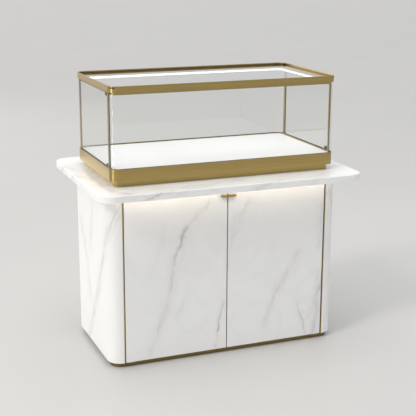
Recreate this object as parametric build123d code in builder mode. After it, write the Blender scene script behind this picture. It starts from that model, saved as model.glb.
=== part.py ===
from build123d import *
import os

# Jewelry display counter: a two-door storage cabinet with rounded front corners, a marble-look
# top with a light line under its front, and a brass-framed glass showcase with two side panes
# that open. Millimetres. +X is the customer's right, +Y the back, +Z up. The origin is on the
# floor under the middle of the countertop, and the front of the counter looks towards -Y.

# Cabinet
cabinet_width = 1000.0
cabinet_depth = 462.0
cabinet_corner_radius = 56.0
plinth_height = 20.0
plinth_inset = 12.0
plinth_wall = 2.0
plinth_floor_gap = 1.5
plinth_notch_gap = 0.5
board_thickness = 18.0
skin_thickness = 6.0
corner_post_depth = 60.0
boards_set_back = 40.0
inlay_width = 4.0
inlay_depth = 10.0

# Countertop
countertop_height = 744.0
countertop_thickness = 28.0
countertop_side_overhang = 60.0
countertop_front_overhang = 119.0
countertop_rear_overhang = 169.0
countertop_corner_radius = 65.0
countertop_upper_edge_radius = 3.0
countertop_lower_edge_radius = 1.5

# Cabinet doors and the pivots that they turn on
door_core_thickness = 16.0
door_side_gap = 3.0
door_middle_gap = 5.0
door_edge_radius = 2.0
pivot_from_edge = 22.0
pivot_from_face = 12.0
pivot_pin_radius = 3.5
pivot_pin_length = 15.0
pivot_running_gap = 0.05
pivot_top_play = 0.3
pivot_plate_thickness = 3.0
pivot_plate_width = 30.0
pivot_plate_front = 7.0
pivot_plate_grip = 35.0
bush_wall = 1.5
bush_spare_length = 2.0
bush_flange_width = 2.0
bush_flange_thickness = 1.5
press_gap = 0.05

# Pulls, strike plates and magnetic catches beside the door gap
pull_length = 30.2
pull_depth = 14.0
pull_height = 9.0
pull_below_slab = 35.0
pull_middle_gap = 1.6
pull_edge_radius = 1.0
pull_groove_radius = 4.0
pull_groove_depth = 1.8
pull_screw_spacing = 17.0
pull_screw_grip = 9.0
strike_width = 40.0
strike_height = 11.0
strike_thickness = 1.5
strike_corner_radius = 2.0
strike_from_middle = 10.0
catch_width = 44.0
catch_height = 13.0
catch_depth = 46.0
catch_corner_radius = 2.0
catch_air = 0.5

# Shelf on its pins
shelf_height = 360.0
shelf_gap = 1.0
shelf_edge_radius = 1.0
shelf_pin_radius = 2.5
shelf_pin_reach = 10.0
shelf_pin_seat = 8.0
shelf_pin_pad_width = 10.0
shelf_pin_pad_thickness = 2.0
shelf_pin_sink = 1.0
pin_hole_pitch = 32.0
pin_hole_count = 7
pin_hole_clearance = 0.1
pin_row_inset = 50.0

# Levelling feet
foot_pad_radius = 20.0
foot_pad_height = 6.0
foot_pad_edge_radius = 2.0
foot_socket_depth = 2.0
foot_stem_radius = 4.0
foot_stem_head_room = 2.0
foot_stem_clearance = 0.3
foot_nut_radius = 8.0
foot_nut_height = 5.0
foot_side_inset = 90.0
foot_front_inset = 100.0
foot_rear_inset = 70.0

# Screws: through the cabinet sides, up into the slab, and small ones for pulls and showcase
wood_screw_radius = 3.0
wood_screw_head_radius = 4.5
wood_screw_head_height = 3.5
wood_screw_length = 48.0
wood_screw_front_inset = 30.0
wood_screw_rear_inset = 50.0
slab_screw_radius = 3.0
slab_screw_head_radius = 6.0
slab_screw_head_height = 4.0
slab_screw_grip = 12.0
slab_screw_side_inset = 120.0
slab_screw_front_inset = 110.0
slab_screw_rear_inset = 130.0
small_screw_radius = 2.0
small_screw_head_radius = 4.0
small_screw_head_height = 2.4
showcase_screw_grip = 12.0
showcase_screw_side_inset = 96.0
showcase_screw_edge = 5.0
screw_clearance = 0.1
screw_tip_room = 1.0

# Light under the front of the countertop
front_light_length = 960.0
front_light_width = 12.0
front_light_depth = 8.0
front_light_from_cabinet = 40.0
channel_wall = 1.0
strip_thickness = 1.2
strip_side_gap = 1.0
diffuser_thickness = 1.6
diffuser_gap = 0.05

# Driver of the lights and the cable outlet at the back of the cabinet
driver_length = 170.0
driver_width = 45.0
driver_height = 30.0
driver_ear_length = 12.0
driver_ear_thickness = 3.0
driver_edge_radius = 3.0
driver_back_gap = 15.0
grommet_bore_radius = 22.0
grommet_wall = 2.5
grommet_flange_width = 5.0
grommet_flange_thickness = 2.0
grommet_edge_radius = 1.0
grommet_below_slab = 96.0
wire_hole_radius = 6.0
wire_hole_from_back = 101.0

# Base of the showcase; insets run inwards from the showcase's outline
showcase_width = 962.0
showcase_depth = 505.0
showcase_corner_radius = 38.0
sheet_thickness = 2.5
lower_tier_height = 23.0
lower_tier_inset = 20.0
lower_tier_foot_width = 24.0
lower_tier_shelf_width = 14.0
band_height = 49.0
band_flange_width = 35.0
channel_wall_thickness = 2.2
channel_wall_drop = 1.0
deck_drop = 3.0
deck_thickness = 10.0
deck_seal_width = 1.5
deck_seal_drop = 0.5
bearer_width = 40.0
bearer_spacing = 240.0
bearer_count = 4
bearer_end_gap = 0.5

# Glass walls, posts and side panes
glass_thickness = 6.0
glass_side_gap = 0.5
glass_sink = 10.0
glass_height = 293.0
glass_end_gap = 0.1
seal_thickness = 1.2
seal_pad_thickness = 1.0
post_from_corner = 4.0
post_width = 7.0
post_side_gap = 0.1
pane_front_gap = 1.5
pane_rear_gap = 2.0
pane_end_gap = 3.0
pane_pin_radius = 2.0
pane_pin_length = 6.0
pane_bush_wall = 0.95
pane_bush_spare_length = 0.4
pane_bush_flange_width = 0.4
pane_bush_flange_thickness = 0.6
shoe_length = 20.0
shoe_wall = 0.9
shoe_grip = 12.0
pane_seal_width = 3.0
pane_seal_height = 2.5
pane_seal_start_gap = 1.0
pane_seal_thickness = 1.2

# Top frame, its inner light and the top glass
frame_height = 25.0
frame_rim = 5.0
frame_groove_depth = 7.0
glass_head_room = 1.0
ledge_width = 21.0
light_ring_width = 12.0
light_ring_drop = 9.0
light_ring_wall = 2.0
light_slot_height = 9.5
top_strip_thickness = 1.2
top_diffuser_thickness = 2.0
gasket_width = 10.0
gasket_thickness = 1.0
top_glass_thickness = 6.0
top_glass_gap = 0.5

# Planes of the cabinet and of the doors that follow from the sizes above
cabinet_front = (countertop_front_overhang - countertop_rear_overhang - cabinet_depth) / 2
cabinet_back = cabinet_front + cabinet_depth
cabinet_side = cabinet_width / 2
cabinet_top = countertop_height - countertop_thickness
side_height = cabinet_top - plinth_height
board_side = cabinet_side - skin_thickness
inner_side = board_side - board_thickness
back_panel_front = cabinet_back - board_thickness
inlay_side = cabinet_side - cabinet_corner_radius
door_bay_side = inlay_side - inlay_width
boards_front = cabinet_front + boards_set_back
posts_back = cabinet_front + corner_post_depth
top_board_bottom = cabinet_top - board_thickness
bottom_board_top = plinth_height + board_thickness

door_outer_side = door_bay_side - door_side_gap
door_inner_side = door_middle_gap / 2
door_bottom = plinth_height + bush_flange_thickness
door_top = cabinet_top - pivot_plate_thickness - pivot_top_play - bush_flange_thickness
door_height = door_top - door_bottom
door_face_back = cabinet_front + skin_thickness
door_back = door_face_back + door_core_thickness
pivot_x = door_outer_side - pivot_from_edge
pivot_y = cabinet_front + pivot_from_face
bush_radius = pivot_pin_radius + pivot_running_gap + bush_wall
bush_length = pivot_pin_length + bush_spare_length
plate_front = pivot_y - pivot_plate_front
plate_length = boards_front + pivot_plate_grip - plate_front
plate_middle = plate_front + plate_length / 2

# Levels and planes of the showcase
band_bottom = countertop_height + lower_tier_height
band_top = band_bottom + band_height
glass_inset = sheet_thickness + glass_side_gap
glass_back_inset = glass_inset + glass_thickness
channel_inset = glass_back_inset + seal_thickness
deck_seal_inset = channel_inset + channel_wall_thickness
deck_inset = deck_seal_inset + deck_seal_width
glass_bottom = band_top - glass_sink
channel_floor = glass_bottom - seal_pad_thickness
deck_bottom = band_top - deck_drop - deck_thickness
frame_bottom = band_top + glass_height
frame_top = frame_bottom + frame_height
groove_top = frame_bottom + frame_groove_depth
glass_top = groove_top - glass_head_room
ledge_top = groove_top + sheet_thickness
light_ring_bottom = frame_bottom - light_ring_drop
light_slot_bottom = light_ring_bottom + light_ring_wall
light_ring_inner = channel_inset + light_ring_width
top_glass_inset = frame_rim + top_glass_gap
top_glass_bottom = ledge_top + gasket_thickness

showcase_side = showcase_width / 2
showcase_front = -showcase_depth / 2
post_front = showcase_front + showcase_corner_radius + post_from_corner
post_back = post_front + post_width
post_thickness = channel_inset - sheet_thickness - 2 * post_side_gap
post_x = showcase_side - (channel_inset + sheet_thickness) / 2
pane_x = showcase_side - glass_inset - glass_thickness / 2
pane_axis = post_back + pane_front_gap + glass_thickness / 2
pane_rear = -post_back - pane_rear_gap
pane_bottom = band_top + pane_end_gap
pane_top = frame_bottom - pane_end_gap
pane_bush_radius = pane_pin_radius + pivot_running_gap + pane_bush_wall
pane_bush_length = pane_pin_length + pane_bush_spare_length
shoe_floor = pane_end_gap - pane_bush_flange_thickness
shoe_end = pane_axis + shoe_length


def save(node, part):
    """Writes one named piece."""
    part.label = node
    export_step(part, f"parts/{node}.step")


def save_pair(piece, left_part):
    """Writes a piece of the left side and its mirror image on the right."""
    save(f"left_{piece}", left_part)
    with BuildPart() as right_copy:
        mirror(left_part, about=Plane.YZ)
    save(f"right_{piece}", right_copy.part)


def facing(point, direction):
    """A plane through a point that looks in the given direction."""
    return Plane(origin=point, z_dir=direction)


def box_plan(height, left, right, front, back):
    """A rectangle between four lines, lying at a height."""
    with BuildSketch(Plane.XY.offset(height)) as plan:
        with Locations(((left + right) / 2, (front + back) / 2)):
            Rectangle(right - left, back - front)
    return plan.sketch


def cabinet_plan(height, inset, back):
    """The cabinet's outline pulled in at its front and sides, with its two front corners round."""
    front = cabinet_front + inset
    with BuildSketch(Plane.XY.offset(height)) as plan:
        add(box_plan(0, inset - cabinet_side, cabinet_side - inset, front, back))
        fillet(plan.vertices().group_by(Axis.Y)[0], cabinet_corner_radius - inset)
    return plan.sketch


def showcase_plan(inset):
    """The showcase's outline pulled in by an inset, its corners concentric until they are sharp."""
    width = showcase_width - 2 * inset
    depth = showcase_depth - 2 * inset
    with BuildSketch() as plan:
        if inset < showcase_corner_radius:
            RectangleRounded(width, depth, showcase_corner_radius - inset)
        else:
            Rectangle(width, depth)
    return plan.sketch


def showcase_ring(height, outer_inset, inner_inset):
    """The band between two insets of the showcase's outline, lying at a height."""
    with BuildSketch(Plane.XY.offset(height)) as ring:
        add(showcase_plan(outer_inset))
        add(showcase_plan(inner_inset), mode=Mode.SUBTRACT)
    return ring.sketch


def front_wall_plan(height, outer_inset, inner_inset):
    """The part of such a band that runs round the front, from one front post to the other."""
    with BuildSketch(Plane.XY.offset(height)) as plan:
        add(showcase_ring(0, outer_inset, inner_inset))
        add(box_plan(0, -showcase_side, showcase_side, showcase_front, post_front - glass_end_gap),
            mode=Mode.INTERSECT)
    return plan.sketch


def pane_plan(height, rear, half_width):
    """A strip along the left side pane, full round about the pane's pivot."""
    with BuildSketch(Plane.XY.offset(height)) as plan:
        add(box_plan(0, -pane_x - half_width, -pane_x + half_width, pane_axis, rear))
        with Locations((-pane_x, pane_axis)):
            Circle(half_width)
    return plan.sketch


def drill(planes, radius, depth):
    """Tools that cut a round hole behind each plane."""
    with BuildPart() as tools:
        for plane in planes:
            with Locations(plane.location):
                Cylinder(radius, depth, align=(Align.CENTER, Align.CENTER, Align.MAX))
    return tools.part


def screws(planes, radius, length, head_radius, head_height):
    """Screws whose heads stand on the planes and whose shanks go into what is behind them."""
    with BuildPart() as bodies:
        for plane in planes:
            with Locations(plane.location):
                Cylinder(head_radius, head_height, align=(Align.CENTER, Align.CENTER, Align.MIN))
                Cylinder(radius, length, align=(Align.CENTER, Align.CENTER, Align.MAX))
    return bodies.part


def carcass_board(height):
    """A full board between the sides, narrower in front, where it passes between the posts."""
    with BuildPart() as board:
        extrude(box_plan(height, -inner_side, inner_side, posts_back, back_panel_front),
                amount=board_thickness)
        extrude(box_plan(height, -door_bay_side, door_bay_side, boards_front, posts_back),
                amount=board_thickness)
    return board.part


os.makedirs("parts", exist_ok=True)

# Places that several pieces share
foot_places = [
    (x, y)
    for x in (foot_side_inset - cabinet_side, 0, cabinet_side - foot_side_inset)
    for y in (cabinet_front + foot_front_inset, cabinet_back - foot_rear_inset)
]
wood_screw_rows = (
    posts_back + wood_screw_front_inset,
    (posts_back + cabinet_back) / 2,
    cabinet_back - wood_screw_rear_inset,
)
wood_screw_planes = [
    facing((side * board_side, y, z), (side, 0, 0))
    for side in (-1, 1)
    for y in wood_screw_rows
    for z in (plinth_height + board_thickness / 2, cabinet_top - board_thickness / 2)
]
slab_screw_planes = [
    facing((x, y, top_board_bottom), (0, 0, -1))
    for x in (slab_screw_side_inset - cabinet_side, 0, cabinet_side - slab_screw_side_inset)
    for y in (cabinet_front + slab_screw_front_inset, cabinet_back - slab_screw_rear_inset)
]
showcase_screw_y = showcase_depth / 2 - lower_tier_inset - lower_tier_foot_width + showcase_screw_edge
showcase_screw_x = showcase_side - showcase_screw_side_inset
showcase_screw_planes = [
    Plane((x, y, countertop_height + sheet_thickness))
    for x in (-showcase_screw_x, 0, showcase_screw_x)
    for y in (-showcase_screw_y, showcase_screw_y)
]
wire_hole_plane = Plane((0, cabinet_back - wire_hole_from_back, countertop_height))
pin_rows = (posts_back + pin_row_inset, back_panel_front - pin_row_inset)
pin_height = shelf_height - shelf_pin_pad_thickness - shelf_pin_radius + shelf_pin_sink
wood_screw_holes = drill(wood_screw_planes, wood_screw_radius + screw_clearance,
                         wood_screw_length + screw_tip_room)

# Levelling feet: moulded pads on the floor, and threaded stems with their lock nuts that go up
# into the bottom board
with BuildPart() as foot_pads:
    with Locations(foot_places):
        Cylinder(foot_pad_radius, foot_pad_height, align=(Align.CENTER, Align.CENTER, Align.MIN))
    fillet(foot_pads.faces().filter_by(Axis.Z).group_by(Axis.Z)[-1].edges(), foot_pad_edge_radius)
    with Locations(*[(x, y, foot_pad_height) for x, y in foot_places]):
        Hole(foot_stem_radius + press_gap, foot_socket_depth)
save("foot_pads", foot_pads.part)

foot_stem_bottom = foot_pad_height - foot_socket_depth
foot_stem_length = bottom_board_top - foot_stem_head_room - foot_stem_bottom
with BuildPart() as foot_stems:
    with BuildSketch(Plane.XY.offset(foot_stem_bottom)):
        with Locations(foot_places):
            Circle(foot_stem_radius)
    extrude(amount=foot_stem_length)
    with BuildSketch(Plane.XY.offset(plinth_height - foot_nut_height)):
        with Locations(foot_places):
            RegularPolygon(foot_nut_radius, 6)
    extrude(amount=foot_nut_height)
save("foot_stems", foot_stems.part)

# Plinth skirt: a bent brass strip set back under the cabinet, notched over the pivot plates
skirt_height = plinth_height - plinth_floor_gap
with BuildPart() as plinth_skirt:
    with BuildSketch(Plane.XY.offset(plinth_floor_gap)):
        add(cabinet_plan(0, plinth_inset, cabinet_back - plinth_inset))
        skirt_inner = plinth_inset + plinth_wall
        add(cabinet_plan(0, skirt_inner, cabinet_back - skirt_inner), mode=Mode.SUBTRACT)
    extrude(amount=skirt_height)
    with Locations((-pivot_x, pivot_y, plinth_height), (pivot_x, pivot_y, plinth_height)):
        Box(pivot_plate_width + 2 * plinth_notch_gap, 2 * plinth_inset,
            2 * (pivot_plate_thickness + plinth_notch_gap), mode=Mode.SUBTRACT)
save("plinth_skirt", plinth_skirt.part)

# Bottom board, drilled for the stems of the feet and for the screws through the sides
with BuildPart() as bottom_board:
    add(carcass_board(plinth_height))
    foot_hole_planes = [Plane((x, y, bottom_board_top)) for x, y in foot_places]
    add(drill(foot_hole_planes, foot_stem_radius + foot_stem_clearance, board_thickness),
        mode=Mode.SUBTRACT)
    add(wood_screw_holes, mode=Mode.SUBTRACT)
save("bottom_board", bottom_board.part)

# Top board, let in for the upper pivot plates and drilled for the slab screws and the wire
with BuildPart() as top_board:
    add(carcass_board(top_board_bottom))
    with Locations((-pivot_x, plate_middle, cabinet_top), (pivot_x, plate_middle, cabinet_top)):
        Box(pivot_plate_width, plate_length, 2 * pivot_plate_thickness, mode=Mode.SUBTRACT)
    add(drill(slab_screw_planes, slab_screw_radius + screw_clearance, board_thickness),
        mode=Mode.SUBTRACT)
    add(wood_screw_holes, mode=Mode.SUBTRACT)
    add(drill([wire_hole_plane], wire_hole_radius, countertop_thickness + board_thickness),
        mode=Mode.SUBTRACT)
save("top_board", top_board.part)

# Side boards, with counterbored screw holes outside and rows of shelf-pin holes inside
with BuildPart() as left_side_board:
    extrude(box_plan(plinth_height, -board_side, -inner_side, posts_back, back_panel_front),
            amount=side_height)
    add(wood_screw_holes, mode=Mode.SUBTRACT)
    add(drill(wood_screw_planes, wood_screw_head_radius + screw_clearance, wood_screw_head_height),
        mode=Mode.SUBTRACT)
    for y in pin_rows:
        with Locations(facing((-inner_side, y, pin_height), (1, 0, 0)).location):
            with GridLocations(pin_hole_pitch, pin_hole_pitch, pin_hole_count, 1):
                Cylinder(shelf_pin_radius + pin_hole_clearance, shelf_pin_seat,
                         align=(Align.CENTER, Align.CENTER, Align.MAX), mode=Mode.SUBTRACT)
save_pair("side_board", left_side_board.part)

# Corner posts: solid blocks behind the bent skins, rebated in front for the brass inlays
with BuildPart() as left_corner_post:
    with BuildSketch(Plane.XY.offset(plinth_height)):
        add(cabinet_plan(0, skin_thickness, posts_back))
        add(box_plan(0, -cabinet_side, -door_bay_side, cabinet_front, posts_back),
            mode=Mode.INTERSECT)
        add(box_plan(0, -inlay_side, 0, cabinet_front, cabinet_front + inlay_depth),
            mode=Mode.SUBTRACT)
    extrude(amount=side_height)
save_pair("corner_post", left_corner_post.part)

# Side skins: marble-look sheet on the side boards, bent round the corner posts
with BuildPart() as left_side_skin:
    with BuildSketch(Plane.XY.offset(plinth_height)):
        add(cabinet_plan(0, 0, cabinet_back))
        add(cabinet_plan(0, skin_thickness, cabinet_back), mode=Mode.SUBTRACT)
        add(box_plan(0, -cabinet_side, -inlay_side, cabinet_front, cabinet_back),
            mode=Mode.INTERSECT)
    extrude(amount=side_height)
save_pair("side_skin", left_side_skin.part)

# Brass inlays: square bars let into the corner posts beside the doors
with BuildPart() as left_brass_inlay:
    extrude(box_plan(plinth_height, -inlay_side, -door_bay_side, cabinet_front,
                     cabinet_front + inlay_depth), amount=side_height)
save_pair("brass_inlay", left_brass_inlay.part)

# Back panel between the side skins, and the outlet ring for the cable in its hole
grommet_plane = facing((0, cabinet_back, cabinet_top - grommet_below_slab), (0, 1, 0))
grommet_radius = grommet_bore_radius + grommet_wall
with BuildPart() as back_panel:
    extrude(box_plan(plinth_height, -board_side, board_side, back_panel_front, cabinet_back),
            amount=side_height)
    add(drill([grommet_plane], grommet_radius + screw_clearance, board_thickness),
        mode=Mode.SUBTRACT)
save("back_panel", back_panel.part)

with BuildPart(grommet_plane) as cable_grommet:
    Cylinder(grommet_radius + grommet_flange_width, grommet_flange_thickness,
             align=(Align.CENTER, Align.CENTER, Align.MIN))
    fillet(cable_grommet.edges().group_by(Axis.Y)[-1], grommet_edge_radius)
    Cylinder(grommet_radius, board_thickness, align=(Align.CENTER, Align.CENTER, Align.MAX))
    Hole(grommet_bore_radius)
save("cable_grommet", cable_grommet.part)

# Carcass screws through the side boards, their heads flush under the side skins
carcass_screws = screws([plane.offset(-wood_screw_head_height) for plane in wood_screw_planes],
                        wood_screw_radius, wood_screw_length - wood_screw_head_height,
                        wood_screw_head_radius, wood_screw_head_height)
save("carcass_screws", carcass_screws)

# Shelf, and the four pins with flat pads that carry it
with BuildPart() as shelf:
    extrude(box_plan(shelf_height, shelf_gap - inner_side, inner_side - shelf_gap,
                     posts_back + shelf_gap, back_panel_front - shelf_gap),
            amount=board_thickness)
    fillet(shelf.edges().filter_by(Axis.X).group_by(Axis.Y)[0], shelf_edge_radius)
save("shelf", shelf.part)

with BuildPart() as shelf_pins:
    for side in (-1, 1):
        for y in pin_rows:
            with Locations(facing((side * inner_side, y, pin_height), (-side, 0, 0)).location):
                Cylinder(shelf_pin_radius, shelf_pin_reach,
                         align=(Align.CENTER, Align.CENTER, Align.MIN))
                Cylinder(shelf_pin_radius, shelf_pin_seat,
                         align=(Align.CENTER, Align.CENTER, Align.MAX))
            with Locations((side * (inner_side - shelf_pin_reach / 2), y, shelf_height)):
                Box(shelf_pin_reach, shelf_pin_pad_width, shelf_pin_pad_thickness,
                    align=(Align.CENTER, Align.CENTER, Align.MAX))
save("shelf_pins", shelf_pins.part)

# Pivot plates: for each door one under the bottom board and one let into the top board, each
# with the pin that the door turns on
with BuildPart() as pivot_plates:
    for x in (-pivot_x, pivot_x):
        with Locations((x, plate_middle, plinth_height)):
            Box(pivot_plate_width, plate_length, pivot_plate_thickness,
                align=(Align.CENTER, Align.CENTER, Align.MAX))
        with Locations((x, pivot_y, plinth_height)):
            Cylinder(pivot_pin_radius, pivot_pin_length,
                     align=(Align.CENTER, Align.CENTER, Align.MIN))
        with Locations((x, plate_middle, cabinet_top)):
            Box(pivot_plate_width, plate_length, pivot_plate_thickness,
                align=(Align.CENTER, Align.CENTER, Align.MAX))
        with Locations((x, pivot_y, cabinet_top - pivot_plate_thickness)):
            Cylinder(pivot_pin_radius, pivot_pin_length,
                     align=(Align.CENTER, Align.CENTER, Align.MAX))
save("pivot_plates", pivot_plates.part)

# Cabinet doors: a core board with a bush in each end of its hinge side, faced with marble-look
# sheet. The two screws of the pull pass through both.
pull_outer = pull_middle_gap / 2 + pull_length
pull_middle = pull_outer - pull_length / 2
pull_bottom = cabinet_top - pull_below_slab - pull_height
pull_screw_planes = [
    facing((shift * pull_screw_spacing - pull_middle, door_back, pull_bottom + pull_height / 2),
           (0, 1, 0))
    for shift in (-0.5, 0.5)
]
pull_screw_length = door_core_thickness + skin_thickness + pull_screw_grip
pull_screw_holes = drill(pull_screw_planes, small_screw_radius + screw_clearance,
                         pull_screw_length + screw_tip_room)
bush_planes = [
    facing((-pivot_x, pivot_y, door_bottom), (0, 0, -1)),
    facing((-pivot_x, pivot_y, door_top), (0, 0, 1)),
]

with BuildPart() as left_door_core:
    extrude(box_plan(door_bottom, -door_outer_side, -door_inner_side, door_face_back, door_back),
            amount=door_height)
    add(drill(bush_planes, bush_radius + press_gap, bush_length), mode=Mode.SUBTRACT)
    add(pull_screw_holes, mode=Mode.SUBTRACT)
save_pair("door_core", left_door_core.part)

with BuildPart() as left_door_skin:
    extrude(box_plan(door_bottom, -door_outer_side, -door_inner_side, cabinet_front,
                     door_face_back), amount=door_height)
    fillet(left_door_skin.edges().filter_by(Axis.Z).group_by(Axis.Y)[0], door_edge_radius)
    add(pull_screw_holes, mode=Mode.SUBTRACT)
save_pair("door_skin", left_door_skin.part)

with BuildPart() as left_door_bushes:
    for plane in bush_planes:
        with Locations(plane.location):
            Cylinder(bush_radius + bush_flange_width, bush_flange_thickness,
                     align=(Align.CENTER, Align.CENTER, Align.MIN))
            Cylinder(bush_radius, bush_length, align=(Align.CENTER, Align.CENTER, Align.MAX))
            Hole(pivot_pin_radius + pivot_running_gap, bush_length + bush_flange_thickness)
save_pair("door_bushes", left_door_bushes.part)

# Pulls: a brass bar on each door, hollowed below for the fingertips, ending at the door gap
with BuildPart() as left_door_pull:
    with BuildSketch(Plane.YZ.offset(-pull_outer)):
        with Locations((cabinet_front - pull_depth / 2, pull_bottom + pull_height / 2)):
            Rectangle(pull_depth, pull_height)
        with Locations((cabinet_front - pull_depth / 2,
                        pull_bottom + pull_groove_depth - pull_groove_radius)):
            Circle(pull_groove_radius, mode=Mode.SUBTRACT)
    extrude(amount=pull_length)
    fillet(left_door_pull.edges().filter_by(Axis.X).group_by(Axis.Y)[0], pull_edge_radius)
    add(pull_screw_holes, mode=Mode.SUBTRACT)
save_pair("door_pull", left_door_pull.part)

left_pull_screws = screws(pull_screw_planes, small_screw_radius, pull_screw_length,
                          small_screw_head_radius, small_screw_head_height)
save_pair("pull_screws", left_pull_screws)

# Strike plates on the doors, and the magnetic catches under the top board that hold them
strike_middle = top_board_bottom - catch_height / 2
with BuildPart() as left_strike_plate:
    extrude(box_plan(strike_middle - strike_height / 2, -strike_from_middle - strike_width,
                     -strike_from_middle, door_back, door_back + strike_thickness),
            amount=strike_height)
    fillet(left_strike_plate.edges().filter_by(Axis.Y), strike_corner_radius)
save_pair("strike_plate", left_strike_plate.part)

catch_middle = door_back + strike_thickness + catch_air + catch_depth / 2
with BuildPart() as magnetic_catches:
    for side in (-1, 1):
        catch_x = side * (strike_from_middle + strike_width / 2)
        with Locations((catch_x, catch_middle, top_board_bottom)):
            Box(catch_width, catch_depth, catch_height,
                align=(Align.CENTER, Align.CENTER, Align.MAX))
    fillet(magnetic_catches.edges().filter_by(Axis.Z), catch_corner_radius)
save("magnetic_catches", magnetic_catches.part)

# Countertop: one slab with round corners, grooved below for the light, with blind holes for the
# screws of the cabinet and of the showcase
light_y = cabinet_front - front_light_from_cabinet
with BuildPart() as countertop:
    with BuildSketch(Plane.XY.offset(cabinet_top)):
        RectangleRounded(cabinet_width + 2 * countertop_side_overhang,
                         cabinet_depth + countertop_front_overhang + countertop_rear_overhang,
                         countertop_corner_radius)
    extrude(amount=countertop_thickness)
    fillet(countertop.faces().sort_by(Axis.Z)[-1].edges(), countertop_upper_edge_radius)
    fillet(countertop.faces().sort_by(Axis.Z)[0].edges(), countertop_lower_edge_radius)
    with Locations((0, light_y, cabinet_top)):
        Box(front_light_length, front_light_width, 2 * front_light_depth, mode=Mode.SUBTRACT)
    add(drill(slab_screw_planes, slab_screw_radius + screw_clearance,
              board_thickness + slab_screw_grip + screw_tip_room), mode=Mode.SUBTRACT)
    add(drill(showcase_screw_planes, small_screw_radius + screw_clearance,
              sheet_thickness + showcase_screw_grip + screw_tip_room), mode=Mode.SUBTRACT)
    add(drill([wire_hole_plane], wire_hole_radius, countertop_thickness), mode=Mode.SUBTRACT)
save("countertop", countertop.part)

countertop_screws = screws(slab_screw_planes, slab_screw_radius, board_thickness + slab_screw_grip,
                           slab_screw_head_radius, slab_screw_head_height)
save("countertop_screws", countertop_screws)

# Light under the front of the countertop: an aluminium channel in the groove. Its light strip
# and its diffuser are made together with those of the top frame.
slot_width = front_light_width - 2 * channel_wall
slot_length = front_light_length - 2 * channel_wall
with BuildPart() as front_light_channel:
    with Locations((0, light_y, cabinet_top)):
        Box(front_light_length, front_light_width, front_light_depth,
            align=(Align.CENTER, Align.CENTER, Align.MIN))
        Box(slot_length, slot_width, front_light_depth - channel_wall,
            align=(Align.CENTER, Align.CENTER, Align.MIN), mode=Mode.SUBTRACT)
save("front_light_channel", front_light_channel.part)

ring_back_inset = channel_inset + light_ring_wall
with BuildPart() as light_strips:
    with Locations((0, light_y, cabinet_top + front_light_depth - channel_wall)):
        Box(slot_length - 2 * strip_side_gap, slot_width - 2 * strip_side_gap, strip_thickness,
            align=(Align.CENTER, Align.CENTER, Align.MAX))
    extrude(showcase_ring(light_slot_bottom + strip_side_gap, ring_back_inset,
                          ring_back_inset + top_strip_thickness),
            amount=light_slot_height - 2 * strip_side_gap)
save("light_strips", light_strips.part)

with BuildPart() as light_diffusers:
    with Locations((0, light_y, cabinet_top)):
        Box(slot_length - 2 * diffuser_gap, slot_width - 2 * diffuser_gap, diffuser_thickness,
            align=(Align.CENTER, Align.CENTER, Align.MIN))
    extrude(showcase_ring(light_slot_bottom, light_ring_inner - top_diffuser_thickness,
                          light_ring_inner), amount=light_slot_height)
save("light_diffusers", light_diffusers.part)

# Driver for the lights, fixed by its two ears under the top board in front of the back panel
driver_middle = (0, back_panel_front - driver_back_gap - driver_width / 2, top_board_bottom)
with BuildPart() as light_driver:
    with Locations(driver_middle):
        Box(driver_length, driver_width, driver_height,
            align=(Align.CENTER, Align.CENTER, Align.MAX))
    fillet(light_driver.edges().group_by(Axis.Z)[0], driver_edge_radius)
    with Locations(driver_middle):
        Box(driver_length + 2 * driver_ear_length, driver_width, driver_ear_thickness,
            align=(Align.CENTER, Align.CENTER, Align.MAX))
save("light_driver", light_driver.part)

# Lower tier of the showcase: a folded brass ring with a wide foot that is screwed to the slab
# and a narrow shelf that carries the base band
with BuildPart() as lower_tier:
    extrude(showcase_ring(countertop_height, lower_tier_inset, lower_tier_inset + sheet_thickness),
            amount=lower_tier_height)
    extrude(showcase_ring(countertop_height, lower_tier_inset,
                          lower_tier_inset + lower_tier_foot_width), amount=sheet_thickness)
    extrude(showcase_ring(band_bottom - sheet_thickness, lower_tier_inset,
                          lower_tier_inset + lower_tier_shelf_width), amount=sheet_thickness)
    add(drill(showcase_screw_planes, small_screw_radius + screw_clearance, sheet_thickness),
        mode=Mode.SUBTRACT)
save("lower_tier", lower_tier.part)

showcase_screws = screws(showcase_screw_planes, small_screw_radius,
                         sheet_thickness + showcase_screw_grip,
                         small_screw_head_radius, small_screw_head_height)
save("showcase_screws", showcase_screws)

# Base band: folded brass with a bottom flange, an outer wall, and an inner wall that makes the
# channel for the glass
with BuildPart() as base_band:
    extrude(showcase_ring(band_bottom, 0, sheet_thickness), amount=band_height)
    extrude(showcase_ring(band_bottom, 0, band_flange_width), amount=sheet_thickness)
    extrude(showcase_ring(channel_floor - sheet_thickness, 0, deck_seal_inset),
            amount=sheet_thickness)
    extrude(showcase_ring(channel_floor - sheet_thickness, channel_inset, deck_seal_inset),
            amount=band_top - channel_wall_drop - channel_floor + sheet_thickness)
save("base_band", base_band.part)

# Deck: a white board on four bearers that stand on the flange of the band, and its black edge seal
bearer_bottom = band_bottom + sheet_thickness
with BuildPart() as deck_bearers:
    with Locations((0, 0, bearer_bottom)):
        with GridLocations(bearer_spacing, bearer_spacing, bearer_count, 1):
            Box(bearer_width, showcase_depth - 2 * (deck_seal_inset + bearer_end_gap),
                deck_bottom - bearer_bottom, align=(Align.CENTER, Align.CENTER, Align.MIN))
save("deck_bearers", deck_bearers.part)

with BuildPart() as display_deck:
    with BuildSketch(Plane.XY.offset(deck_bottom)):
        add(showcase_plan(deck_inset))
    extrude(amount=deck_thickness)
save("display_deck", display_deck.part)

with BuildPart() as deck_seal:
    extrude(showcase_ring(deck_bottom, deck_seal_inset, deck_inset),
            amount=deck_thickness - deck_seal_drop)
save("deck_seal", deck_seal.part)

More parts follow.
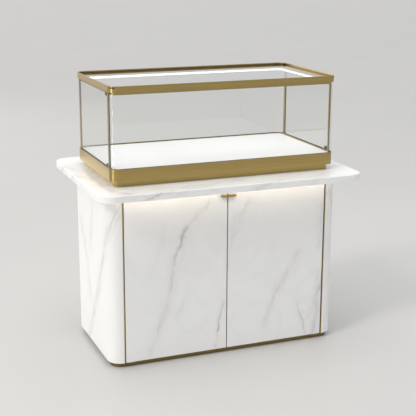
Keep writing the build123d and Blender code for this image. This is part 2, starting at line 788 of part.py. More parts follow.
# Glass walls: front and rear glass bent round the corners up to the posts, and their seals
with BuildPart() as front_glass:
    extrude(front_wall_plan(glass_bottom, glass_inset, glass_back_inset),
            amount=glass_top - glass_bottom)
save("front_glass", front_glass.part)

with BuildPart() as rear_glass:
    mirror(front_glass.part, about=Plane.XZ)
save("rear_glass", rear_glass.part)

with BuildPart() as glass_seals:
    extrude(front_wall_plan(channel_floor, glass_inset, channel_inset), amount=seal_pad_thickness)
    extrude(front_wall_plan(channel_floor, glass_back_inset, channel_inset),
            amount=band_top - channel_floor)
    extrude(front_wall_plan(frame_bottom, glass_back_inset, channel_inset),
            amount=glass_top - frame_bottom)
    mirror(about=Plane.XZ)
save("glass_seals", glass_seals.part)

# Posts: four square brass bars from the floor of the channel up to the ledge of the top frame
post_length = groove_top - channel_floor
with BuildPart() as showcase_posts:
    for side in (-1, 1):
        for y in (post_front + post_width / 2, -post_front - post_width / 2):
            with Locations((side * post_x, y, channel_floor)):
                Box(post_thickness, post_width, post_length,
                    align=(Align.CENTER, Align.CENTER, Align.MIN))
save("showcase_posts", showcase_posts.part)

# Side rails: brass sills and headers between the posts, bored for the bushes of the side panes
pane_bush_planes = [
    facing((-pane_x, pane_axis, band_top), (0, 0, 1)),
    facing((-pane_x, pane_axis, frame_bottom), (0, 0, -1)),
]
with BuildPart() as side_rails:
    rail_left = -post_x - post_thickness / 2
    rail_right = -post_x + post_thickness / 2
    extrude(box_plan(channel_floor, rail_left, rail_right, post_back, -post_back),
            amount=band_top - channel_floor)
    extrude(box_plan(frame_bottom, rail_left, rail_right, post_back, -post_back),
            amount=frame_groove_depth)
    add(drill(pane_bush_planes, pane_bush_radius + press_gap, pane_bush_length),
        mode=Mode.SUBTRACT)
    mirror(about=Plane.YZ)
save("side_rails", side_rails.part)

with BuildPart() as pane_bushes:
    for plane in pane_bush_planes:
        with Locations(plane.location):
            Cylinder(pane_bush_radius, pane_bush_length,
                     align=(Align.CENTER, Align.CENTER, Align.MAX))
    with Locations(pane_bush_planes[0].location):
        Cylinder(pane_bush_radius + pane_bush_flange_width, pane_bush_flange_thickness,
                 align=(Align.CENTER, Align.CENTER, Align.MIN))
    for plane in pane_bush_planes:
        with Locations(plane.location):
            Cylinder(pane_pin_radius + pivot_running_gap, 2 * pane_bush_length,
                     mode=Mode.SUBTRACT)
    mirror(about=Plane.YZ)
save("pane_bushes", pane_bushes.part)

# Seals round each side pane: along the sill, up the rear post and back under the header
seal_end = -post_back
seal_start = shoe_end + pane_seal_start_gap
with BuildPart() as pane_seals:
    with BuildSketch(Plane.YZ.offset(-pane_x - pane_seal_width / 2)):
        with Locations(((seal_start + seal_end) / 2, (band_top + frame_bottom) / 2)):
            Rectangle(seal_end - seal_start, glass_height)
        with Locations(((seal_start + seal_end) / 2 - pane_seal_thickness,
                        (band_top + frame_bottom) / 2)):
            Rectangle(seal_end - seal_start, glass_height - 2 * pane_seal_height,
                      mode=Mode.SUBTRACT)
    extrude(amount=pane_seal_width)
    mirror(about=Plane.YZ)
save("pane_seals", pane_seals.part)

# Side panes: flat glass doors that turn in two shoes with pins, one above and one below
with BuildPart() as left_side_pane:
    extrude(pane_plan(pane_bottom, pane_rear, glass_thickness / 2), amount=pane_top - pane_bottom)
save_pair("side_pane", left_side_pane.part)

shoe_half_width = glass_thickness / 2 + shoe_wall
with BuildPart() as left_pane_shoes:
    extrude(pane_plan(pane_bottom - shoe_floor, shoe_end, shoe_half_width),
            amount=shoe_floor + shoe_grip)
    extrude(pane_plan(pane_top - shoe_grip, shoe_end, shoe_half_width),
            amount=shoe_floor + shoe_grip)
    extrude(pane_plan(pane_bottom, shoe_end, glass_thickness / 2), amount=pane_top - pane_bottom,
            mode=Mode.SUBTRACT)
    with Locations((-pane_x, pane_axis, pane_bottom - shoe_floor)):
        Cylinder(pane_pin_radius, pane_pin_length, align=(Align.CENTER, Align.CENTER, Align.MAX))
    with Locations((-pane_x, pane_axis, pane_top + shoe_floor)):
        Cylinder(pane_pin_radius, pane_pin_length, align=(Align.CENTER, Align.CENTER, Align.MIN))
save_pair("pane_shoes", left_pane_shoes.part)

# Top frame: a brass rim with a groove below for the glass walls and a ledge for the top glass
with BuildPart() as top_frame:
    extrude(showcase_ring(frame_bottom, 0, sheet_thickness), amount=frame_height)
    extrude(showcase_ring(groove_top, 0, frame_rim), amount=frame_top - groove_top)
    extrude(showcase_ring(groove_top, 0, ledge_width), amount=sheet_thickness)
save("top_frame", top_frame.part)

# Inner light channel: a brass ring under the ledge, open towards the middle of the showcase
with BuildPart() as top_light_channel:
    extrude(showcase_ring(light_ring_bottom, channel_inset, light_ring_inner),
            amount=groove_top - light_ring_bottom)
    extrude(showcase_ring(light_slot_bottom, ring_back_inset, light_ring_inner),
            amount=light_slot_height, mode=Mode.SUBTRACT)
save("top_light_channel", top_light_channel.part)

# Top glass, lying on a flat gasket on the ledge
with BuildPart() as top_gasket:
    extrude(showcase_ring(ledge_top, top_glass_inset, top_glass_inset + gasket_width),
            amount=gasket_thickness)
save("top_gasket", top_gasket.part)

with BuildPart() as top_glass:
    with BuildSketch(Plane.XY.offset(top_glass_bottom)):
        add(showcase_plan(top_glass_inset))
    extrude(amount=top_glass_thickness)
save("top_glass", top_glass.part)
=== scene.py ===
import math
import bmesh
import bpy
from mathutils import Matrix, Vector


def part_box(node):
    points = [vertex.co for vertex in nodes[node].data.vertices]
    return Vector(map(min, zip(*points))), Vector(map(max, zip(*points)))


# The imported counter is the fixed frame: metres, the floor at z = 0, its front towards -Y. Every
# piece keeps its built shape, and the sections below give the pieces their finishes.
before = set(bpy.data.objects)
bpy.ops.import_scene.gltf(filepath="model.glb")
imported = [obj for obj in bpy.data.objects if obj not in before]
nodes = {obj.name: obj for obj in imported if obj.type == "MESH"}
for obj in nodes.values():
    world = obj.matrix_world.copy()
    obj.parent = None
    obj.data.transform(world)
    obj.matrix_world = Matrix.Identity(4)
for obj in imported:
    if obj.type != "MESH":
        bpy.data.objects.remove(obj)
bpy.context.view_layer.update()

# Levelling feet: zinc-plated steel stems that go up into the bottom board, each on a round pad
# of black moulded plastic.


class Wire:
    """A shader value whose arithmetic adds Math nodes to its material."""

    def __init__(self, tree, socket):
        self.tree = tree
        self.socket = socket

    @staticmethod
    def make(tree, kind, inputs, output=0, **settings):
        """Adds any node, sets it up and gives one of its outputs."""
        node = tree.nodes.new(kind)
        for key, value in settings.items():
            setattr(node, key, value)
        for key, value in inputs.items():
            if isinstance(value, Wire):
                tree.links.new(value.socket, node.inputs[key])
            else:
                node.inputs[key].default_value = value
        return Wire(tree, node.outputs[output])

    def math(self, operation, *others, clamp=False):
        """One Math node with this value first."""
        return Wire.make(self.tree, "ShaderNodeMath", dict(enumerate((self, *others))),
                         operation=operation, use_clamp=clamp)

    def __add__(self, other):
        return self.math("ADD", other)

    def __sub__(self, other):
        return self.math("SUBTRACT", other)

    def __mul__(self, other):
        return self.math("MULTIPLY", other)

    def __pow__(self, other):
        return self.math("POWER", other)

    def __radd__(self, other):
        return self + other

    def __rsub__(self, other):
        return self * -1.0 + other

    def __rmul__(self, other):
        return self * other

    def __rtruediv__(self, other):
        return (self ** -1.0) * other

    def span(self, low, high):
        """0 below low, 1 above high, straight between them."""
        return Wire.make(self.tree, "ShaderNodeMapRange",
                         {"Value": self, "From Min": low, "From Max": high})


class Finish:
    """A material with one Principled shader, in object coordinates in metres."""

    def __init__(self, name, **values):
        self.material = bpy.data.materials.new(name)
        self.material.use_nodes = True
        self.tree = self.material.node_tree
        self.shader = self.tree.nodes["Principled BSDF"]
        for key, value in values.items():
            self.shader.inputs[key.replace("_", " ")].default_value = value
        self.place = Wire.make(self.tree, "ShaderNodeTexCoord", {}, output=3)
        axes = Wire.make(self.tree, "ShaderNodeSeparateXYZ", {0: self.place}).socket.node
        self.x, self.y, self.z = (Wire(self.tree, axes.outputs[i]) for i in range(3))

    def point(self, x, y, z):
        """A place made of three values."""
        return Wire.make(self.tree, "ShaderNodeCombineXYZ", {0: x, 1: y, 2: z})

    def noise(self, place, scale, detail=2.0, roughness=0.5, distortion=0.0):
        """Smooth noise from 0 to 1 at a place."""
        return Wire.make(self.tree, "ShaderNodeTexNoise",
                         {"Vector": place, "Scale": scale, "Detail": detail,
                          "Roughness": roughness, "Distortion": distortion})

    def mix(self, factor, first, second):
        """The first colour turning into the second."""
        return Wire.make(self.tree, "ShaderNodeMix", {0: factor, 6: first, 7: second},
                         output=2, data_type="RGBA")

    def feed(self, **inputs):
        """Joins values to the shader's sockets."""
        for key, value in inputs.items():
            self.tree.links.new(value.socket, self.shader.inputs[key.replace("_", " ")])

    def bump(self, height, strength, distance):
        """Turns a height into the shader's normal."""
        self.feed(Normal=Wire.make(self.tree, "ShaderNodeBump",
                                   {"Height": height, "Strength": strength,
                                    "Distance": distance}))

    def put_on(self, slot_name, *names):
        """Gives the finish to CAD nodes."""
        for name in names:
            nodes[name].data.materials.clear()
            nodes[name].data.materials.append(self.material)


def plated(name, colour):
    """Metal with a dull plating, a little darker in spangles."""
    metal = Finish(name, Metallic=1.0)
    spangle = metal.noise(metal.place, scale=320.0, detail=3.0)
    metal.feed(Base_Color=metal.mix(spangle, colour, (0.42, 0.42, 0.43, 1.0)),
               Roughness=spangle * 0.2 + 0.28)
    return metal


def grey(tone):
    """An even grey."""
    return (tone, tone, tone, 1.0)


def moulded(name, tone, roughness):
    """Rubber or plastic with the fine grain of its mould."""
    skin = Finish(name)
    grain = skin.noise(skin.place, scale=700.0)
    skin.feed(Base_Color=skin.mix(grain, grey(tone), grey(tone * 1.3)),
              Roughness=grain * 0.15 + roughness)
    skin.bump(grain, strength=0.1, distance=0.0002)
    return skin


steel = plated("steel_zinc", (0.55, 0.56, 0.57, 1.0))
steel.put_on("steel", "foot_stems")
plastic = moulded("plastic_black", tone=0.03, roughness=0.45)
plastic.put_on("black_plastic", "foot_pads")

# Plinth skirt: one bent strip of brushed brass, set back under the cabinet. The streaks run level
# along it, and its colour is darkened to about half that of the other brass pieces: painted shade
# for the shadow and dark floor mirrored under the cabinet.
BRASS_LIGHT = (0.485, 0.355, 0.135)
BRASS_DARK = (0.375, 0.27, 0.098)
LEVEL_STREAKS = (6.0, 6.0, 900.0)
# Painted shade: the plinth's brass colour is multiplied by this.
PLINTH_PAINTED_SHADE = 0.5


def brushed(name, streaks, tone=1.0):
    """Brass with the streaks of a brush; streaks says how close they are along X, Y and Z."""
    metal = Finish(name, Metallic=1.0, Anisotropic=0.7, Anisotropic_Rotation=0.25)
    along_x, along_y, along_z = streaks
    place = metal.point(metal.x * along_x, metal.y * along_y, metal.z * along_z)
    streak = metal.noise(place, scale=1.0, detail=4.0, roughness=0.65)
    broad = metal.noise(place, scale=0.22)
    low, high = (tuple(part * tone for part in colour) + (1.0,)
                 for colour in (BRASS_DARK, BRASS_LIGHT))
    metal.sheen = metal.mix(streak.span(0.30, 0.70), low, high)
    metal.feed(Base_Color=metal.sheen, Roughness=streak * 0.12 + broad * 0.08 + 0.20)
    metal.bump(streak, strength=0.10, distance=0.0004)
    return metal


# The plinth's brass is darkened by painted shade.
brushed("brass_plinth_painted_shade", LEVEL_STREAKS, PLINTH_PAINTED_SHADE).put_on("brass", "plinth_skirt")

# Carcass: white melamine-faced boards with a faint pressed grain, and the solid posts in its front
# corners. Zinc-plated screws through the side boards hold it, and the shelf lies on four pins.
board = Finish("board_white")
pressed = board.point(board.x * 20.0, board.y * 20.0, board.z * 160.0)
grain = board.noise(pressed, scale=1.0, detail=3.0)
board.feed(Base_Color=board.mix(grain, (0.74, 0.72, 0.68, 1.0), (0.80, 0.78, 0.745, 1.0)),
           Roughness=grain * 0.12 + 0.42)
board.bump(grain, strength=0.08, distance=0.0003)
board.put_on("board", "bottom_board", "top_board", "left_side_board", "right_side_board",
             "left_corner_post", "right_corner_post", "shelf")
steel.put_on("steel", "carcass_screws", "shelf_pins")

# Side skins: polished marble-look sheet, glued on the side boards and bent round the corner
# posts. A long beige vein falls across each of them towards the back.


class Marble(Finish):
    """Polished white stone, with drawn veins on the flat map (u, v) and faint clouds between."""

    VEIN_COLOUR = (0.17, 0.155, 0.13, 1.0)
    CLOUD_COLOUR = (0.52, 0.51, 0.495, 1.0)
    HALO_WIDTH = 5.0
    WISPS_ALONG, WISPS_ACROSS = 8.0, 46.0
    SLOW_WANDER, QUICK_WANDER = 0.026, 0.022

    def __init__(self, name):
        super().__init__(name, Specular_IOR_Level=0.35)

    def vein(self, u, v, points, width):
        """1 along a line through the points, falling off beside it."""
        nearest = None
        for (au, av), (bu, bv) in zip(points, points[1:]):
            du, dv = bu - au, bv - av
            square = du * du + dv * dv
            along = v.math("MULTIPLY_ADD", dv / square, -(au * du + av * dv) / square)
            along = u.math("MULTIPLY_ADD", du / square, along, clamp=True)
            side_u = along.math("MULTIPLY_ADD", -du, u - au)
            side_v = along.math("MULTIPLY_ADD", -dv, v - av)
            distance = side_u.math("MULTIPLY_ADD", side_u, side_v * side_v)
            nearest = distance if nearest is None else nearest.math("MINIMUM", distance)
        fall_off = 1.5
        return (width ** 2 / (nearest + width ** 2)) ** fall_off

    def draw(self, u, v, seed, veins, lean=0.35, clouds=0.05, white=0.90,
             tinge=(0.40, 0.385, 0.365, 1.0)):
        """Wanders the map a little and lays the veins on the white ground.

        Each vein has the strength of its dark line, the strength of the tinge beside it, its width
        and its points, in metres. Lean is the share of the grain that runs along u; the rest of it
        runs along v. Clouds is the strength of the grey patches.
        """
        flat = self.point(u, v, seed)
        wide = self.noise(flat, scale=7.0)
        fine = self.noise(flat, scale=40.0, detail=4.0, roughness=0.65)
        wander = (wide - 0.5) * self.SLOW_WANDER + (fine - 0.5) * self.QUICK_WANDER
        u, v = u + wander, v - wander
        rise = math.sqrt(1.0 - lean * lean)
        lengthwise = (u * lean + v * rise) * self.WISPS_ALONG
        crosswise = (u * rise - v * lean) * self.WISPS_ACROSS
        wisp = self.noise(self.point(crosswise, lengthwise, seed), scale=1.0, detail=4.0,
                          roughness=0.62).span(0.38, 0.64)
        breaks = self.noise(self.point(u, v, seed + 3.0), scale=15.0, detail=3.0,
                            roughness=0.6).span(0.36, 0.66)
        dark, pale = None, None
        for strength, halo, width, points in veins:
            line = self.vein(u, v, points, width) * breaks * strength
            glow = self.vein(u, v, points, width * self.HALO_WIDTH) * halo
            dark = line if dark is None else dark.math("MAXIMUM", line)
            pale = glow if pale is None else pale.math("MAXIMUM", glow)
        swirl = self.noise(flat, scale=3.1, detail=4.0, roughness=0.55, distortion=0.8)
        ridge = (swirl - 0.5).math("ABSOLUTE") * -22.0 + 1.0
        cloud = ridge.math("MAXIMUM", 0.0) * clouds + wide.span(0.45, 0.8) * clouds
        ground = self.mix(cloud, (white, white, white * 0.995, 1.0), self.CLOUD_COLOUR)
        ground = self.mix(pale * (wisp * 0.95 + 0.2), ground, tinge)
        self.feed(Base_Color=self.mix(dark * (wisp * 0.5 + 0.5), ground, self.VEIN_COLOUR),
                  Roughness=self.noise(flat, scale=90.0) * 0.06 + 0.19)


BEIGE = (0.50, 0.43, 0.345, 1.0)
cabinet_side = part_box("right_side_skin")[1][0]
for side, name in ((-1.0, "left_side_skin"), (1.0, "right_side_skin")):
    skin = Marble(f"marble_{name}")
    round_corner = skin.y + skin.x * side - cabinet_side
    skin.draw(round_corner, skin.z, 5.0 + side, (
        (0.20, 0.42, 0.0050, ((-0.33, 0.71), (-0.268, 0.619), (-0.155, 0.419), (-0.064, 0.232))),
        (0.20, 0.36, 0.0050, ((-0.064, 0.232), (0.008, 0.118), (0.075, 0.02))),
        (0.10, 0.28, 0.0050, ((0.15, 0.52), (0.063, 0.358), (0.04, 0.22))),
        (0.12, 0.22, 0.0050, ((-0.06, 0.70), (-0.01, 0.55), (0.02, 0.44))),
    ), lean=-0.49, clouds=0.03, tinge=BEIGE)
    skin.put_on("marble", name)

# Brass inlays: square bars of the same brass as the plinth's, without the plinth's painted shade,
# let into the corner posts beside the doors. Their streaks run upright.
UPRIGHT_STREAKS = (700.0, 700.0, 7.0)
upright_brass = brushed("brass_upright", UPRIGHT_STREAKS)
upright_brass.put_on("brass", "left_brass_inlay", "right_brass_inlay")

# Back panel: a board between the side skins, with a marble pattern printed on its laminate. A
# black plastic ring lines the hole that the supply cable leaves by.
back = Marble("marble_back")
back.draw(back.x, back.z, 9.0, (
    (0.45, 0.20, 0.0035, ((0.36, 0.71), (0.25, 0.52), (0.19, 0.33), (0.03, 0.03))),
    (0.30, 0.16, 0.0035, ((-0.12, 0.71), (-0.21, 0.45), (-0.39, 0.16))),
    (0.20, 0.14, 0.0035, ((-0.21, 0.45), (-0.12, 0.30), (-0.10, 0.12))),
))
back.put_on("marble_laminate", "back_panel")
plastic.put_on("black_plastic", "cable_grommet")

# Cabinet doors: core boards faced with polished marble-look sheet. They turn on steel pivots in
# nylon bushes, and magnets hold them shut. Long grey veins with beige edges fall from the upper
# right to the lower left, across both doors.
doors = Marble("marble_doors")
doors.draw(doors.x, doors.z, 0.0, (
    (0.30, 0.22, 0.0035, ((-0.08, 0.655), (-0.138, 0.604), (-0.172, 0.566), (-0.191, 0.531))),
    (0.75, 0.24, 0.0038, ((-0.176, 0.561), (-0.191, 0.531), (-0.203, 0.487))),
    (0.22, 0.26, 0.0045, ((-0.203, 0.49), (-0.223, 0.438), (-0.232, 0.385), (-0.249, 0.307))),
    (0.14, 0.22, 0.0040, ((-0.249, 0.307), (-0.267, 0.224), (-0.293, 0.163), (-0.337, 0.057))),
    (0.06, 0.10, 0.0040, ((-0.269, 0.518), (-0.299, 0.46), (-0.333, 0.381))),
    (0.04, 0.10, 0.0040, ((-0.164, 0.296), (-0.185, 0.256), (-0.216, 0.195))),
    (0.80, 0.14, 0.0028, ((-0.014, 0.225), (-0.031, 0.174), (-0.04, 0.149), (-0.042, 0.096))),
    (0.55, 0.12, 0.0028, ((-0.042, 0.10), (-0.044, 0.07), (-0.05, 0.03))),
    (0.12, 0.16, 0.0035, ((0.10, 0.65), (0.054, 0.589), (0.023, 0.53), (0.004, 0.36))),
    (0.14, 0.28, 0.0042, ((0.317, 0.402), (0.286, 0.335), (0.254, 0.295), (0.223, 0.246))),
    (0.10, 0.20, 0.0038, ((0.223, 0.246), (0.197, 0.182), (0.17, 0.095))),
    (0.55, 0.14, 0.0028, ((0.318, 0.195), (0.334, 0.132), (0.35, 0.093), (0.366, 0.03))),
    (0.35, 0.10, 0.0026, ((0.345, 0.128), (0.363, 0.128), (0.385, 0.142))),
    (0.16, 0.38, 0.0060, ((0.435, 0.29), (0.424, 0.18), (0.412, 0.10), (0.395, 0.03))),
    (0.06, 0.14, 0.0040, ((0.43, 0.60), (0.428, 0.51), (0.415, 0.42))),
))
doors.put_on("marble", "left_door_skin", "right_door_skin")
board.put_on("board", "left_door_core", "right_door_core")
nylon = moulded("nylon_white", tone=0.62, roughness=0.45)
nylon.put_on("nylon", "left_door_bushes", "right_door_bushes")
steel.put_on("steel", "pivot_plates", "left_strike_plate", "right_strike_plate")
plastic.put_on("black_plastic", "magnetic_catches")

# Door pulls: a short brass bar on each door, brushed along its length and held by two screws
# that come through the door.
PULL_STREAKS = (12.0, 500.0, 500.0)
brushed("brass_pull", PULL_STREAKS).put_on("brass", "left_door_pull", "right_door_pull")
steel.put_on("steel", "left_pull_screws", "right_pull_screws")

# Countertop: one thick marble-look slab with rounded edges, held by screws from below. The map
# folds over its front edge, so that a vein of the top runs on down the edge.
slab = Marble("marble_slab")
slab_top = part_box("countertop")[1][2]
slab.draw(slab.x, slab.y + slab.z - slab_top, 14.0, (
    (0.55, 0.24, 0.0035, ((-0.42, -0.405), (-0.37, -0.39), (-0.33, -0.377), (-0.27, -0.36))),
    (0.30, 0.18, 0.0035, ((-0.26, -0.385), (-0.21, -0.372), (-0.12, -0.34))),
    (0.30, 0.16, 0.0035, ((0.06, -0.40), (0.11, -0.382), (0.20, -0.35))),
    (0.22, 0.30, 0.0060, ((-0.55, 0.02), (-0.50, -0.12), (-0.51, -0.26), (-0.44, -0.36))),
    (0.20, 0.26, 0.0060, ((-0.56, 0.20), (-0.52, 0.10), (-0.50, -0.12))),
    (0.16, 0.22, 0.0060, ((-0.51, -0.26), (-0.36, -0.31), (-0.17, -0.33), (0.05, -0.29))),
    (0.14, 0.20, 0.0050, ((0.30, -0.37), (0.42, -0.30), (0.55, -0.22))),
    (0.14, 0.18, 0.0050, ((-0.30, 0.37), (-0.02, 0.30), (0.33, 0.29), (0.53, 0.12))),
), lean=0.92, clouds=0.10, white=0.92)
slab.put_on("marble", "countertop")
steel.put_on("steel", "countertop_screws")

# Lights: strips of diodes, one in an aluminium channel under the slab's front and one round the
# top frame, behind opal covers that glow an even white. The front one is the warmer and stronger.
# Their driver hangs under the top board.
plated("aluminium_anodised", grey(0.70)).put_on("aluminium", "front_light_channel")
plastic.put_on("black_plastic", "light_driver")

DIODE_WAVE = 380.0  # radians in a metre, about one diode to every 16.5 mm
strip = Finish("led_strip", Roughness=0.5)
dots = (strip.x * DIODE_WAVE).math("SINE") * (strip.y * DIODE_WAVE).math("COSINE")
strip.feed(Base_Color=strip.mix(dots.span(0.2, 0.6), (0.85, 0.83, 0.76, 1.0),
                                (0.95, 0.72, 0.20, 1.0)))
strip.put_on("led_strip", "light_strips")

BETWEEN_LIGHTS = (0.85, 0.95)  # heights above the front light and below the ring
opal = Finish("diffuser_lit", Base_Color=(0.9, 0.88, 0.84, 1.0), Roughness=0.5,
              Emission_Strength=12.0)
evenness = opal.noise(opal.place, scale=25.0, detail=1.0)
front_glow = opal.mix(evenness, (1.0, 0.85, 0.64, 1.0), (1.0, 0.90, 0.74, 1.0))
ring_glow = (0.16, 0.158, 0.154, 1.0)
opal.feed(Emission_Color=opal.mix(opal.z.span(*BETWEEN_LIGHTS), front_glow, ring_glow))
opal.put_on("diffuser", "light_diffusers")

# Base of the showcase: two folded rings of brass. The lower one is screwed to the slab by its
# wide foot, and the band on it makes the channel that the glass stands in.
level_brass = brushed("brass_level", LEVEL_STREAKS)
level_brass.put_on("brass", "lower_tier", "base_band")
steel.put_on("steel", "showcase_screws")

# Display deck: a white satin lacquered board on four bearers inside the band, with a black rubber
# seal round its edge.
deck = Finish("deck_white")
speck = deck.noise(deck.place, scale=240.0)
deck.feed(Base_Color=deck.mix(speck, grey(0.90), grey(0.93)), Roughness=speck * 0.1 + 0.33)
deck.bump(speck, strength=0.04, distance=0.0002)
deck.put_on("deck_white", "display_deck")
board.put_on("board", "deck_bearers")
rubber = moulded("rubber_black", tone=0.018, roughness=0.6)
rubber.put_on("black_rubber", "deck_seal")

# Bent glass: clear 6 mm sheets, front and rear, bent round the corners up to the posts and held
# in black rubber. They mirror more at a low angle, as glass does, and the green-blue of their cut
# ends shows on the inner faces, in strips beside the posts.
CLEAR = (0.985, 0.988, 0.986, 1.0)
EDGE_GREEN = (0.10, 0.24, 0.26, 1.0)
STRIP_WIDTH = 0.006
INNER_SIDE = 0.0045  # depth in the sheet, from its outer face, where the inner side begins
INNER_BLEND = 0.0005


def clear_glass(name, cut_edge=None):
    """Clear sheet: light passes straight through it and its near face mirrors a little."""
    glass = Finish(name)
    tree = glass.tree
    tree.nodes.remove(glass.shader)
    through = Wire.make(tree, "ShaderNodeBsdfTransparent", {"Color": CLEAR})
    if cut_edge:
        dark = Wire.make(tree, "ShaderNodeBsdfTransparent", {"Color": EDGE_GREEN})
        through = Wire.make(tree, "ShaderNodeMixShader", {0: cut_edge(glass), 1: through, 2: dark})
    shine = Wire.make(tree, "ShaderNodeBsdfGlossy", {"Roughness": 0.02})
    slant = Wire.make(tree, "ShaderNodeFresnel", {"IOR": 1.5})
    inside = Wire.make(tree, "ShaderNodeNewGeometry", {}, output=6)
    wave = glass.noise(glass.place, scale=2.5, detail=1.0)
    amount = slant * (1.0 - inside) * (wave * 0.3 + 1.3)
    both = Wire.make(tree, "ShaderNodeMixShader", {0: amount, 1: through, 2: shine})
    out = next(node for node in tree.nodes if node.type == "OUTPUT_MATERIAL")
    tree.links.new(both.socket, out.inputs[0])
    return glass


def beside_posts(glass):
    """1 in the strips on the inner faces beside the cut ends."""
    outer_x, end_y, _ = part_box("front_glass")[1]
    inner_side = outer_x - INNER_SIDE
    strip = glass.y.math("ABSOLUTE").span(STRIP_WIDTH - end_y, STRIP_WIDTH * 0.8 - end_y)
    return strip * glass.x.math("ABSOLUTE").span(inner_side, inner_side - INNER_BLEND)


clear_glass("glass_bent", beside_posts).put_on("glass", "front_glass", "rear_glass")
rubber.put_on("black_rubber", "glass_seals")

# Posts: four square brass bars, brushed upright as the inlays are. They stand in the channel of
# the band and reach up to the ledge of the top frame.
upright_brass.put_on("brass", "showcase_posts")

# Side panes: flat clear sheets that open like doors. Black shoes clamp them above and below and
# turn in nylon bushes in the brass rails, and a rubber seal runs round three of their sides.
flat_glass = clear_glass("glass_flat")
flat_glass.put_on("glass", "left_side_pane", "right_side_pane")
shoes = moulded("clamp_black", tone=0.03, roughness=0.3)
shoes.put_on("black_clamp", "left_pane_shoes", "right_pane_shoes")
nylon.put_on("nylon", "pane_bushes")
rubber.put_on("black_rubber", "pane_seals")
level_brass.put_on("brass", "side_rails")

# Top frame: a brass rim, grooved below for the glass walls, with a ledge on which the top glass
# lies on its rubber gasket. Painted shade turns the rim's inner wall dark bronze, where it stands
# above the glass. A brass channel under the ledge holds the ring of light.
PAINTED_WALL_SHADE = (0.11, 0.07, 0.03, 1.0)
WALL_BLEND = (0.0012, 0.0004)  # metres outside the glass, over which the shade comes in
LIP_BLEND = (0.0025, 0.0045)  # metres under the rim's top, over which the shade comes in
GLASS_BLEND = 0.001
frame_brass = brushed("brass_frame", LEVEL_STREAKS)
rim_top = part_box("top_frame")[1][2]
glass_side, glass_back, glass_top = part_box("top_glass")[1]
past_x = frame_brass.x.math("ABSOLUTE") - glass_side
past_y = frame_brass.y.math("ABSOLUTE") - glass_back
inner_wall = past_x.math("MAXIMUM", past_y).span(*WALL_BLEND)
above = frame_brass.z.span(glass_top - GLASS_BLEND, glass_top)
below_lip = frame_brass.z.span(*(rim_top - depth for depth in LIP_BLEND))
# Painted shade: the inner wall above the glass takes the dark colour.
frame_brass.feed(Base_Color=frame_brass.mix(inner_wall * above * below_lip, frame_brass.sheen,
                                            PAINTED_WALL_SHADE))
frame_brass.put_on("brass", "top_frame")
level_brass.put_on("brass", "top_light_channel")
flat_glass.put_on("glass", "top_glass")
rubber.put_on("black_rubber", "top_gasket")

# Studio: a wide pale floor that reaches the horizon, one soft sun from the left and even light
# all round, a little brighter and warmer towards the left and back.
FLOOR_REACH = 90.0
floor_mesh = bpy.data.meshes.new("studio_floor")
ground = bmesh.new()
bmesh.ops.create_grid(ground, x_segments=1, y_segments=1, size=FLOOR_REACH)
ground.to_mesh(floor_mesh)
ground.free()
studio_floor = bpy.data.objects.new("studio_floor", floor_mesh)
bpy.context.scene.collection.objects.link(studio_floor)
stone = Finish("floor_pale", Roughness=0.35, Specular_IOR_Level=0.3)
patches = stone.noise(stone.place, scale=1.1, detail=3.0)
stone.feed(Base_Color=stone.mix(patches, (0.585, 0.58, 0.57, 1.0), (0.635, 0.63, 0.62, 1.0)))
floor_mesh.materials.append(stone.material)

DIM_SKY = (0.66, 0.67, 0.685, 1.0)
BRIGHT_SKY = (0.93, 0.915, 0.885, 1.0)
BRIGHT_WAY = (-0.8, 0.55, 0.2)
world = bpy.data.worlds.new("studio")
bpy.context.scene.world = world
world.use_nodes = True
heading = Wire.make(world.node_tree, "ShaderNodeTexCoord", {}, output=0)
facing = Wire.make(world.node_tree, "ShaderNodeVectorMath", {0: heading, 1: BRIGHT_WAY},
                   output=1, operation="DOT_PRODUCT")
sky = Wire.make(world.node_tree, "ShaderNodeMix",
                {0: facing.span(-0.2, 0.9), 6: DIM_SKY, 7: BRIGHT_SKY},
                output=2, data_type="RGBA")
world.node_tree.links.new(sky.socket, world.node_tree.nodes["Background"].inputs["Color"])


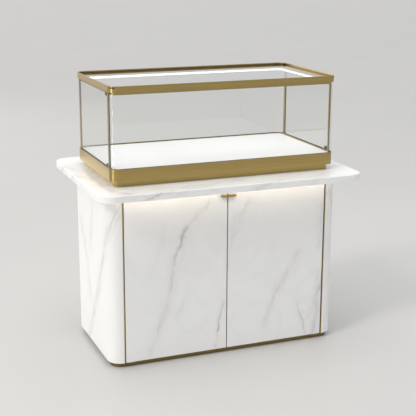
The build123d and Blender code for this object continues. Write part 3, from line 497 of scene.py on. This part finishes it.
def lamp(name, kind, energy, colour, place, target, **values):
    """A light that looks at a target."""
    data = bpy.data.lights.new(name, kind)
    data.energy = energy
    data.color = colour
    for key, value in values.items():
        setattr(data, key, value)
    holder = bpy.data.objects.new(name, data)
    bpy.context.scene.collection.objects.link(holder)
    holder.location = place
    aim = (Vector(target) - Vector(place)).to_track_quat("-Z", "Y")
    holder.rotation_euler = aim.to_euler()


WARM_WHITE = (1.0, 0.97, 0.92)
lamp("sun_left", "SUN", energy=0.85, colour=WARM_WHITE, place=(-4.0, -1.6, 4.2),
     target=(0.0, 0.0, 0.4), angle=math.radians(14.0))
lamp("softbox_left", "AREA", energy=8.0, colour=(1.0, 0.98, 0.95), place=(-3.0, -0.6, 0.80),
     target=(0.0, 0.0, 0.80), shape="RECTANGLE", size=0.2, size_y=1.3)
lamp("softbox_behind", "AREA", energy=46.0, colour=WARM_WHITE, place=(-2.6, 6.2, 2.3),
     target=(0.0, 0.0, 0.9), shape="RECTANGLE", size=3.0, size_y=2.2)
lamp("softbox_above", "AREA", energy=34.0, colour=(1.0, 1.0, 1.0), place=(0.0, -0.2, 3.6),
     target=(0.0, 0.0, 0.0), shape="RECTANGLE", size=3.2, size_y=2.4)

# Camera: it stands where the photograph was taken from, as fitted to the counter's own edges. The
# place is in metres and the angles are in radians.
CAMERA_PLACE = (-1.5185, -3.8122, 1.6505)
YAW, PITCH, ROLL = 0.382865, 0.259738, 0.003651
FOCAL_PIXELS = 994.32
PHOTO_PIXELS = 416.0
SENSOR_WIDTH = 36.0
ahead = Vector((math.sin(YAW) * math.cos(PITCH), math.cos(YAW) * math.cos(PITCH),
                -math.sin(PITCH)))
level_right = Vector((math.cos(YAW), -math.sin(YAW), 0.0))
level_up = level_right.cross(ahead)
right = math.cos(ROLL) * level_right + math.sin(ROLL) * level_up
up = math.cos(ROLL) * level_up - math.sin(ROLL) * level_right
camera = bpy.data.objects.new("camera", bpy.data.cameras.new("camera"))
bpy.context.scene.collection.objects.link(camera)
camera.data.sensor_width = SENSOR_WIDTH
camera.data.lens = SENSOR_WIDTH * FOCAL_PIXELS / PHOTO_PIXELS
camera.data.clip_end = 300.0
camera.matrix_world = (Matrix.Translation(CAMERA_PLACE)
                       @ Matrix((right, up, -ahead)).transposed().to_4x4())
bpy.context.scene.camera = camera
bpy.context.scene.view_settings.view_transform = "Standard"
